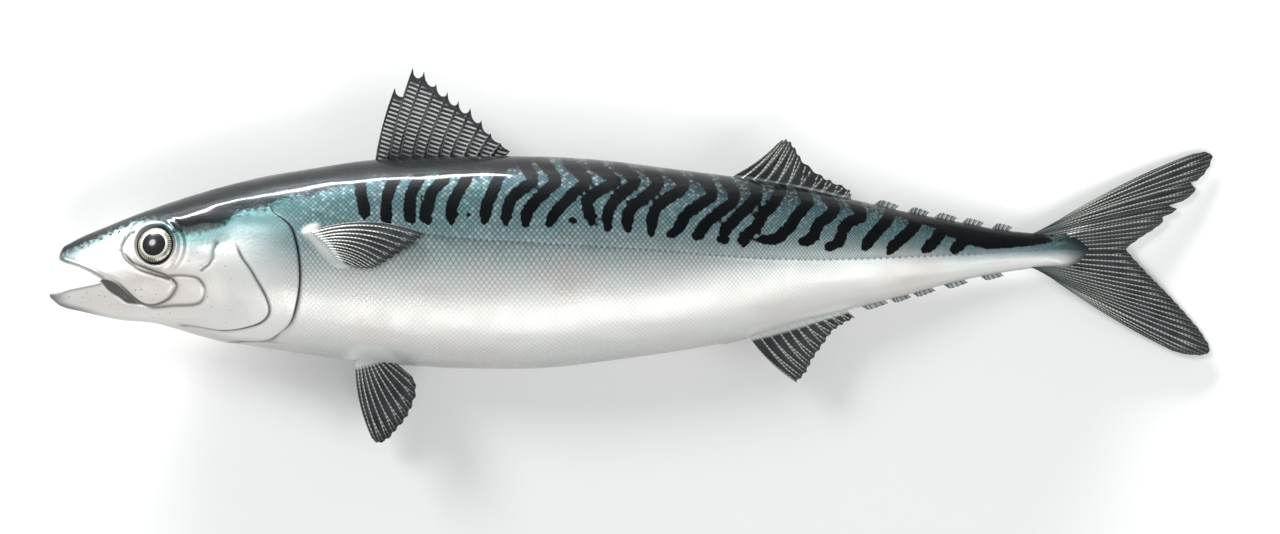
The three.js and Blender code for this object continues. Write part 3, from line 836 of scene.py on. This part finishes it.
def fin(name, base, margin, rays, rows, look, side=1, per_ray=8, bow=(0, 0, 0, 0), sheet=None,
        half=(0.45, 0.1), ridge=0.3, wide=0.3, notch=0.5, branch=1, wave=0.3, extra=None):
    """A fin with rays from its base to its margin, each given from its front to its rear.

    base and margin are points or a function of the share of the way. bow is how far the
    rays' middle is moved at the front (x, y) and at the rear (x, y); sheet gives z; half is
    the membrane's half thickness at the base and at the margin; rays fork from branch on.
    """
    u = np.linspace(0, 1, (rays - 1) * per_ray + 1)[:, None]
    v = np.linspace(0, 1, rows + 1)[None, :]
    phase = u * (rays - 1)
    off = np.abs(phase - np.round(phase))
    root = base(u[:, 0]) if callable(base) else chain(base, u[:, 0])
    tip = margin(u[:, 0]) if callable(margin) else spline(margin, u[:, 0])
    long = np.linalg.norm(tip - root, axis=1)[:, None]
    short = 1 - notch * (1 - np.cos(2 * math.pi * off)) / 2 / long
    way = v * short
    arch = 4 * way * (1 - way)
    x = lerp(root[:, :1], tip[:, :1], way) + lerp(bow[0], bow[2], u) * arch
    y = lerp(root[:, 1:], tip[:, 1:], way) + lerp(bow[1], bow[3], u) * arch
    spacing = np.hypot(np.gradient(x, axis=0), np.gradient(y, axis=0)) * per_ray
    split = 0.23 * spacing * fade(way, branch, 1.0) if branch < 1 else 0
    gap = np.abs(off * spacing - split)
    ray = np.exp(-((gap / (wide * lerp(1.0, 0.65, way))) ** 2))
    thick = lerp(half[0], half[1], way**0.6) + ridge * ray * lerp(1.0, 0.45, way)
    thick = thick * (1 - 0.6 * fade(v, 0.97, 1))
    # The front and the rear edge are round, not cut square.
    inward = np.minimum(phase, rays - 1 - phase) * spacing
    missing = np.clip(1 - inward / thick, 0, 1)
    thick = np.maximum(thick * np.sqrt(1 - missing**2), THINNEST)
    z = sheet(x, y, way) if sheet else np.zeros_like(x)
    z = z + wave * np.sin(5.1 * u + 2.3 * way) * way
    if extra:
        thick = thick + extra(x, y)
    top = placed(x, y, side * (z + thick), lowest=0.05)
    piece = shell(name, top, placed(x, y, side * (z - thick), lowest=0.0))
    face_out(piece)

    def both(values):
        return np.tile(np.broadcast_to(values, x.shape).ravel(), 2)

    # The front and the rear edge have the margin's colour.
    rim = np.maximum(way, 1 - 0.3 * inward)
    note(piece, ray=both(ray), way=both(rim), reach=both(way * long), across=both(phase))
    smooth(piece, 70)
    finish_piece(piece, "fish", look)


# (foot x, tip x, tip y) of the first dorsal fin's spines.
SPINES = [
    (97.4, 103.6, 48.6), (101, 109, 54.7), (104.2, 112.4, 53.6), (108.2, 116, 50),
    (111.8, 119.4, 47.4), (116, 122.7, 44.7), (119.6, 126.3, 42.6), (123.8, 129.6, 39),
    (127.6, 132.4, 35.1), (131.6, 135.4, 32.1), (136, 138.2, 29.7),
]
SCALLOP = 2.7  # the membrane's edge lies this far under the line between two tips


def first_dorsal(look):
    feet = [(foot, back(foot) - 2.2) for foot, _, _ in SPINES]
    tips = np.array([(x, y) for _, x, y in SPINES])

    def margin(u):
        place = u * (len(SPINES) - 1)
        phase = place - np.floor(place)
        edge = chain(tips, u)
        i = np.minimum(place.astype(int), len(SPINES) - 2)
        climb = np.maximum(tips[i + 1, 1] - tips[i, 1], 0) * phase
        low = SCALLOP * fade(edge[:, 1] - back(edge[:, 0]), -2, 14) + climb
        edge[:, 1] -= low * np.abs(np.sin(math.pi * phase**0.7)) ** 0.55
        return edge

    fin("first_dorsal_fin", feet, margin, len(SPINES), 56, look, per_ray=14,
        bow=(-0.7, 0.2, -0.3, 0), half=(0.3, 0.08), ridge=0.5, wide=0.42, notch=0, wave=0.5)


def second_dorsal(look):
    base = [(203.2, back(203.2) - 0.7), *[(x, back(x) - 1.8) for x in (216, 228.6, 240.2)]]
    margin = [
        (218.6, 32.2), (220.3, 33.3), (222.1, 32.8), (224, 30.3), (226.2, 26.8), (231.2, 22.8),
        (235, 20.7), (239.6, 18.6), (240.8, 16.8),
    ]
    fin("second_dorsal_fin", base, margin, 12, 36, look, bow=(0.2, -1.0, 0, 0), branch=0.2,
        per_ray=10)


def anal_fin(look):
    base = [(x, belly(x) + 1.8) for x in (208.9, 219.5, 228.6, 237.8)]
    margin = [
        (224.2, -39.8), (227, -36.9), (229, -33), (232, -28.8), (235, -24.6),
        (238.4, -22.2), (241.8, -20.4),
    ]
    fin("anal_fin", base, margin, 12, 36, look, bow=(-0.8, -0.9, 0, 0), branch=0.2, per_ray=10)


# (start x, length) of the small finlets in front of the tail.
UPPER_FINLETS = [(246.6, 8.6), (256.9, 7.4), (264.9, 7.8), (273.2, 7.6), (282.4, 7)]
LOWER_FINLETS = [(242.7, 9.2), (251.6, 7.2), (258.2, 8), (267.6, 8.4), (278.8, 8)]


def finlet(name, start, line, up, rise, look):
    """A finlet on the given line of the body; up is 1 on the back and -1 on the belly."""
    x, length = start

    def on(share, off):
        at = x + share * length
        return at, float(line(at)) + up * off

    base = [on(0, -0.9), on(0.38, -0.8), on(0.76, -0.8)]
    margin = [on(0.3, rise * 0.84), on(0.42, rise), on(0.7, 0.9 * rise), on(1, 0.7 * rise)]
    fin(name, base, margin, 6, 14, look, per_ray=6, half=(0.28, 0.1), ridge=0.18, notch=0.15,
        wave=0.15)


def finlets(look):
    rows = (("upper", UPPER_FINLETS, back, 1, 1.9), ("lower", LOWER_FINLETS, belly, -1, 1.6))
    for place, starts, line, up, rise in rows:
        for k, start in enumerate(starts, 1):
            finlet(f"{place}_finlet_{k}", start, line, up, rise, look)


def pelvic_fin(side, look):
    base = [(91.9, -32), (99.2, -31)]
    margin = [
        (97, -56.4), (98.8, -57.9), (101.6, -56.7), (104, -54), (106.6, -51),
        (108.4, -47.6), (109.9, -43.2), (109.4, -39), (107, -36.6),
    ]
    fin(f"pelvic_fin_{SIDES[side]}", base, margin, 12, 46, look, side=side,
        bow=(-1.6, 0, 0, 0.4), half=(0.5, 0.1), branch=0.7, per_ray=10,
        sheet=lambda x, y, way: 3 + 0.3 * np.maximum(-33 - y, 0))


def pectoral_fin(side, look):
    base = [(79, 5.7), (83.8, 1.6), (87.6, -3.6)]
    margin = [
        (113.2, 4.9), (109.4, 1.6), (104.8, -1.5), (100.4, -4.2), (98, -5.4), (95, -5.6),
        (91.4, -5.1),
    ]
    fin(f"pectoral_fin_{SIDES[side]}", base, margin, 14, 46, look, side=side,
        bow=(0, 3.1, 0, 0.2), half=(0.5, 0.1), wave=0.15, branch=0.8, wide=0.26,
        sheet=lambda x, y, way: flank(x, y) + 0.1 + way)


# From the top of the upper lobe round the fork to the foot of the lower one. The rear edge
# of the upper lobe is frayed: its rays end in three small points.
TAIL_EDGE = [
    (339.2, 27.3), (344, 29.1), (347.6, 29.7), (349.5, 29.2), (350, 28.2), (349.2, 25.4),
    (347.2, 22.6), (345.3, 20.9), (343, 20.7), (345, 18.7), (344.3, 17.1), (341.4, 14.9),
    (336.8, 13.5), (339.3, 12.4), (338.2, 11.3), (334.7, 9.9), (335.3, 8.6), (332, 6.1),
    (328.4, 3.9), (323.8, 0.5), (324.8, -1), (326, -2.4), (330.4, -7.2), (336.4, -13.2),
    (341.6, -18.9), (346, -24), (348.8, -28.5), (349.3, -30.2), (348.3, -31.5),
    (346, -31.8), (341.6, -31.5), (337.6, -30.3),
]


def by_length(points, share):
    """Points at the given shares of a chain's length."""
    steps = np.linalg.norm(np.diff(points, axis=0), axis=1)
    place = np.append(0, np.cumsum(steps)) / steps.sum()
    return np.stack([np.interp(share, place, p) for p in np.array(points).T], axis=-1)


def tail_fin(look):
    base = [(295, 3.8), (289, 2.6), (287.2, -0.1), (289, -2.8), (295, -4)]
    fin("tail_fin", lambda u: spline(base, u), lambda u: by_length(TAIL_EDGE, u), 39, 72, look,
        bow=(0, 1.5, 0, -1.4), half=(1.7, 0.12), ridge=0.26, wide=0.36, notch=0.3, branch=0.8,
        wave=0.35, extra=keel_height)


# ---- materials ----
def paint(code):
    """A linear colour from a hex code."""
    parts = [int(code[i:i + 2], 16) / 255 for i in (0, 2, 4)]
    return (*[p / 12.92 if p <= 0.04045 else ((p + 0.055) / 1.055) ** 2.4 for p in parts], 1)


class Look:
    """A material made by short calls.

    A value is a number, a hex colour, a socket or, in brackets, what step() takes.
    """

    def __init__(self, name, **constants):
        self.material = bpy.data.materials.new(name)
        self.material.use_nodes = True
        tree = self.material.node_tree
        self.nodes, self.links = tree.nodes, tree.links
        self.shader = self.nodes["Principled BSDF"]
        for key, value in constants.items():
            self.shader.inputs[key.replace("_", " ")].default_value = value

    def feed(self, socket, value):
        if isinstance(value, tuple):
            value = self.step(*value)
        if isinstance(value, bpy.types.NodeSocket):
            self.links.new(value, socket)
        else:
            socket.default_value = paint(value) if isinstance(value, str) else value

    def node(self, kind, inputs, **settings):
        made = self.nodes.new("ShaderNode" + kind)
        for key, value in settings.items():
            setattr(made, key, value)
        for key, value in inputs.items():
            self.feed(made.inputs[key], value)
        return made

    def calc(self, operation, *values):
        return self.node("Math", dict(enumerate(values)), operation=operation).outputs[0]

    def times(self, first, second):
        return self.calc("MULTIPLY", first, second)

    def wave(self, value, length):
        """A sine of the given wavelength."""
        return self.calc("SINE", self.times(value, 2 * math.pi / length))

    def ruffle(self, value, noise, size):
        """The value, moved up and down by noise."""
        return self.calc("MULTIPLY_ADD", self.calc("SUBTRACT", noise, 0.5), size, value)

    def read(self, name):
        return self.node("Attribute", {}, attribute_name=name).outputs["Fac"]

    def step(self, value, low, high, start=0.0, end=1.0):
        """Goes smoothly from start to end while the value goes from low to high."""
        ends = {"Value": value, "From Min": low, "From Max": high, "To Min": start, "To Max": end}
        return self.node("MapRange", ends, interpolation_type="SMOOTHSTEP").outputs["Result"]

    def place(self):
        return self.node("TexCoord", {}).outputs["Object"]

    def noise(self, size, detail=2.0):
        """Noise from 0 to 1 with bumps of the given size in mm."""
        inputs = {"Vector": self.place(), "Scale": 1 / (size * MM), "Detail": detail}
        return self.node("TexNoise", inputs).outputs["Fac"]

    def mix(self, share, first, second, blend="MIX"):
        made = self.node("Mix", {0: share, 6: first, 7: second}, data_type="RGBA", blend_type=blend)
        return made.outputs[2]

    def ramp(self, value, stops):
        made = self.node("ValToRGB", {"Fac": value})
        marks = made.color_ramp.elements
        while len(marks) < len(stops):
            marks.new(0.5)
        for mark, (place, code) in zip(marks, stops):
            mark.position = place
            mark.color = paint(code)
        return made.outputs["Color"]

    def bump(self, height, distance, normal=None):
        inputs = {"Height": height, "Distance": distance * MM, "Strength": 1.0}
        if normal:
            inputs["Normal"] = normal
        return self.node("Bump", inputs).outputs["Normal"]

    def finish(self, color, roughness, metallic, normal):
        ends = {"Base Color": color, "Roughness": roughness, "Metallic": metallic, "Normal": normal}
        for key, value in ends.items():
            self.feed(self.shader.inputs[key], value)
        return self.material


# Colours of the skin from the edge of the belly, 0, to the back, 1; the grey first stops are
# painted shade along the belly's lower edge.
GROUND_AND_EDGE_SHADE = [
    (0.0, "a3a6a3"), (0.04, "bdc0bc"), (0.12, "dededa"), (0.3, "efeee8"), (0.42, "dde1de"),
    (0.5, "b8c3c2"), (0.58, "93a4a5"), (0.68, "6b8588"), (0.8, "4c696d"), (0.9, "273a40"),
    (0.95, "10181c"),
]
# (size in mm, noise from and to, strength, tone from and to, colour) of two faint tints.
SHEENS = [(26, 0.45, 0.7, 0.3, 0.66, 0.5, "d8c3bd"), (15, 0.5, 0.75, 0.35, 0.5, 0.75, "48796f")]
PORE_STEP = 1.9  # mm between the pores of the lateral line
FACE_PORE_STEP = 2.3  # and between those of the face, about
SPOKES = 46  # of the iris


def skin_ground(look, tone, cloud):
    """Belly, flank and back, with patches of a faint blush and of a green gleam."""
    spread = look.step(tone, 0.05, 0.4, 0.02, 0.12)
    color = look.ramp(look.ruffle(tone, cloud, spread), GROUND_AND_EDGE_SHADE)
    for size, low, high, most, start, end, tint in SHEENS:
        patch = look.times((look.noise(size, 1), low, high), most)
        color = look.mix(look.times(patch, (tone, start, end)), color, tint)
    return color


def scale_lattice(look):
    """1 at the edges of the small scales, and a random number for each scale."""
    row, file = look.read("row"), look.read("file")
    edges, corners = [], []
    for way in ("ADD", "SUBTRACT"):
        slant = look.calc(way, file, row)
        corners.append(look.calc("FLOOR", slant))
        cell = look.calc("FRACT", slant)
        edges.append(look.calc("ABSOLUTE", look.calc("MULTIPLY_ADD", cell, 2.0, -1.0)))
    scale = look.node("CombineXYZ", dict(zip("XY", corners))).outputs[0]
    chance = look.node("TexWhiteNoise", {"Vector": scale}).outputs["Value"]
    return look.step(look.calc("MAXIMUM", *edges), 0.55, 0.95), chance


def skin_marks(look, color, bare, along):
    """Ragged dark bars, the dark head and nape, pale skin at the fins, the dark stalk's end."""
    fleck = look.noise(1.3, 2)
    bar = look.ruffle(look.read("bar"), fleck, 1.3)
    color = look.mix((bar, 0.16, -0.16), color, "05080a")
    cap = look.ruffle(look.read("cap"), fleck, 5.0)
    color = look.mix((cap, -1.6, 1.2, 0.0, 0.95), color, "070b0e")
    color = look.mix(look.times(bare, 0.85), color, "d2d5d1")
    return look.mix((along, 300, 311.5, 0.0, 0.95), color, "2b3336")


def skin_pores(look, color, along):
    """The pores of the lateral line and the fine ones of the face."""
    line = look.step(look.calc("ABSOLUTE", look.read("lateral")), 0.5, 0.15)
    open_part = look.step(look.wave(along, PORE_STEP), -0.1, 0.5)
    length = look.times((along, 96, 108), (along, 292, 270))
    pore = look.times(look.times(line, open_part), length)
    color = look.mix(look.times(pore, 0.5), color, "1b2427")
    inputs = {"Vector": look.place(), "Scale": 1 / (FACE_PORE_STEP * MM)}
    spots = look.node("TexVoronoi", inputs).outputs["Distance"]
    spots = look.step(spots, 0.15, 0.07, 0.0, 0.45)
    return look.mix(look.times(spots, (along, 62, 50)), color, "4b4f50", "MULTIPLY")


def skin_lining(look, color, depth, along):
    """Under the surface: the lining of the mouth in front, the gill slit behind, with painted shade
    darkening them further in.
    """
    lining = look.mix((along, 31, 36), "8d7d78", "3a0f0e")
    # Painted shade: darker the deeper under the skin.
    lining_with_depth_shade = look.mix((depth, 1.6, 6.0), lining, "2f2221")
    return look.mix((depth, 1.2, 1.7), color, lining_with_depth_shade)


def skin_look():
    """Blue-green back with black bars, silver flank, white belly, fine scales, a wet film, and
    painted shade in the creases, deep under the skin and along the belly's edge.
    """
    look = Look("wet_skin", IOR=1.35, Specular_IOR_Level=0.2, Coat_Weight=0.6, Coat_Roughness=0.09,
                Coat_IOR=1.25)
    tone, along, bare, depth = map(look.read, ("tone", "along", "pale", "depth"))
    cloud = look.noise(9, 3)
    trunk = look.times((along, 66, 80), (bare, 0.5, 0.0))
    lattice, chance = scale_lattice(look)
    scale = look.times(lattice, trunk)
    glint = look.times((chance, 0.5, 1.0, 0.0, 0.14), trunk)
    color = look.mix(glint, skin_ground(look, tone, cloud), "dfe6e4")
    strong = look.step(tone, 0.2, 0.7, 0.14, 0.7)
    color = look.mix(look.times(scale, strong), color, "17252a")
    color = skin_marks(look, color, bare, along)
    color = skin_pores(look, color, along)
    color = skin_lining(look, color, depth, along)
    # Painted shade in the creases, slits and plate edges of the head, round the eye and in the
    # vent, with the darker tip of the lower jaw.
    color = look.mix(look.times(look.read("crease"), 0.9), color, "131516")
    metallic = look.times((tone, 0.1, 0.5, 0.15, 0.5), (depth, 1.4, 0.9))
    grain = look.bump(look.noise(0.9, 2), 0.05)
    raised = look.times(scale, (tone, 0.1, 0.6, 0.4, 1.0))
    normal = look.bump(look.calc("SUBTRACT", 1.0, raised), 0.022, grain)
    return look.finish(color, (cloud, 0.3, 0.7, 0.28, 0.42), metallic, normal)


def fin_look(name, root, membrane=("12171a", "252c30"), bone="bcbeb4", dashes=1.15, rim=None):
    """Two-toned membrane with rays in joints of dashes mm, in the colour bone.

    root is the colour of the fin's foot, and the mm up to which it is full and has faded.
    """
    look = Look(name, Coat_Weight=0.35, Coat_Roughness=0.2)
    ray, way, reach = map(look.read, ("ray", "way", "reach"))
    cloud = look.noise(5, 3)
    joint = look.step(look.wave(reach, dashes), -0.5, 0.2)
    strong = look.times((ray, 0.35, 0.8), (joint, 0, 1, 0.35, 1.0))
    color = look.mix((cloud, 0.3, 0.7), *membrane)
    color = look.mix(strong, color, bone)
    color = look.mix((way, 0.85, 0.97, 0.0, 0.7), color, rim or membrane[0])
    tint, full, gone = root
    foot = look.ruffle(reach, cloud, 0.3 * gone)
    color = look.mix((foot, gone, full), color, tint)
    normal = look.bump(look.times(joint, ray), 0.06, look.bump(look.noise(0.7, 2), 0.04))
    return look.finish(color, (cloud, 0.3, 0.7, 0.35, 0.5), 0.1, normal)


def spiny_look():
    """Dark spines and a dusky membrane with short pale cross bands."""
    look = Look("spiny_fin", Coat_Weight=0.5, Coat_Roughness=0.15)
    ray, way, reach = map(look.read, ("ray", "way", "reach"))
    cloud = look.noise(6, 3)
    slant = look.calc("MULTIPLY_ADD", look.read("across"), 1.4, reach)
    wave = look.wave(slant, 1.3)
    band = look.times((wave, 0.1, 0.6), (ray, 0.12, 0.02))
    clear = look.times((way, 0.05, 0.3), (way, 0.96, 0.88))
    color = look.mix((cloud, 0.3, 0.7), "14191c", "262d31")
    color = look.mix(look.times(band, clear), color, "b4b8b3")
    color = look.mix((ray, 0.2, 0.7), color, "0b0f11")
    normal = look.bump(look.times(wave, 0.5), 0.08, look.bump(look.noise(0.7), 0.04))
    return look.finish(color, (cloud, 0.3, 0.7, 0.35, 0.5), 0.1, normal)


def eye_look():
    """A black pupil in a silver iris with fine spokes, under a clear wet film."""
    look = Look("eye", Coat_Weight=1.0, Coat_Roughness=0.02)
    radius, turn = look.read("radius"), look.read("turn")
    spoke = look.calc("SINE", look.times(turn, SPOKES))
    streak = look.calc("MULTIPLY_ADD", look.noise(0.8, 3), 1.2, look.times(spoke, 0.25))
    color = look.mix((streak, 0.3, 0.9), "4a4a44", "c7c3b0")
    # Pale inside the ring round the pupil, dark from 5 mm out, black in the pupil; the dark outer
    # band is the iris's rim and also painted shade where the ball sinks into its socket.
    rings = [
        (PUPIL + 0.75, PUPIL + 0.45, "f0ecd9"), (5.0, 5.3, "15171a"),
        (PUPIL + 0.06, PUPIL - 0.06, "020304"),
    ]
    for start, end, tint in rings:
        color = look.mix((radius, start, end), color, tint)
    metallic = look.step(radius, PUPIL, PUPIL + 0.2, 0.0, 0.5)
    normal = look.bump(look.times(streak, metallic), 0.05)
    return look.finish(color, 0.25, metallic, normal)


def floor_look():
    look = Look("pale_table", Specular_IOR_Level=0.2)
    cloud = look.noise(60, 4)
    grain = look.bump(look.noise(2, 3), 0.02)
    color = look.mix(cloud, "f1f1f0", "f4f4f3")
    return look.finish(color, (cloud, 0.2, 0.8, 0.6, 0.7), 0.0, grain)


# ---- table and light ----
def add_floor():
    """A pale table of 8 by 8 metres."""
    corners = 4 * np.array([(-1, -1, 0), (1, -1, 0), (1, 1, 0), (-1, 1, 0)])
    floor = make_mesh("table_top", corners, [[0, 1, 2, 3]])
    floor.data.materials.append(floor_look())


def add_light(name, place, size, power, shape="ELLIPSE"):
    """A soft light at a place in metres, turned to the fish."""
    data = bpy.data.lights.new(name, "AREA")
    data.shape = shape
    data.size, data.size_y = size
    data.energy = power
    lamp = bpy.data.objects.new(name, data)
    lamp.location = place
    aim = Vector((0, 0, MEDIAN * MM)) - Vector(place)
    lamp.rotation_euler = aim.to_track_quat("-Z", "Y").to_euler()
    bpy.context.scene.collection.objects.link(lamp)


def add_world():
    world = bpy.data.worlds.new("studio")
    bpy.context.scene.world = world
    world.use_nodes = True
    room = world.node_tree.nodes["Background"].inputs
    room["Color"].default_value = (0.93, 0.96, 1.0, 1)
    room["Strength"].default_value = 0.35
    bpy.context.scene.view_settings.view_transform = "Standard"


def main():
    add_floor()
    add_world()
    add_light("key", (-1.05, 0.85, 1.15), (0.7, 0.7), 12)
    add_light("belly_fill", (0.15, -1.2, 1.3), (1.6, 0.8), 12, "RECTANGLE")
    add_light("tail_fill", (1.3, -0.5, 1.2), (1.0, 1.0), 8)
    add_light("back_strip", (-0.33, 0.95, 0.15), (0.62, 0.08), 26, "RECTANGLE")
    body_piece(skin_look())
    eye = eye_look()
    for side, word in SIDES.items():
        finish_piece(eye_piece(side, EYE_RADIUS, EYE_DEPTH, CORNEA), f"eye_{word}", eye)
    first_dorsal(spiny_look())
    second_dorsal(fin_look("second_dorsal", ("858e8e", 2.2, 3.2)))
    anal_fin(fin_look("anal", ("c2c7c4", 2.6, 3.8)))
    finlets(fin_look("finlet", ("2f3a3d", 0.5, 1.3), ("7d8686", "a4abaa"), "0b0f11", 9.0, "0b0f11"))
    pelvic = fin_look("pelvic", ("c9cdca", 2.4, 4.4))
    pectoral = fin_look("pectoral", ("b9bfbc", 0.8, 2.4))
    for side in SIDES:
        pelvic_fin(side, pelvic)
        pectoral_fin(side, pectoral)
    tail_fin(fin_look("tail", ("5d6767", 10, 23)))


main()
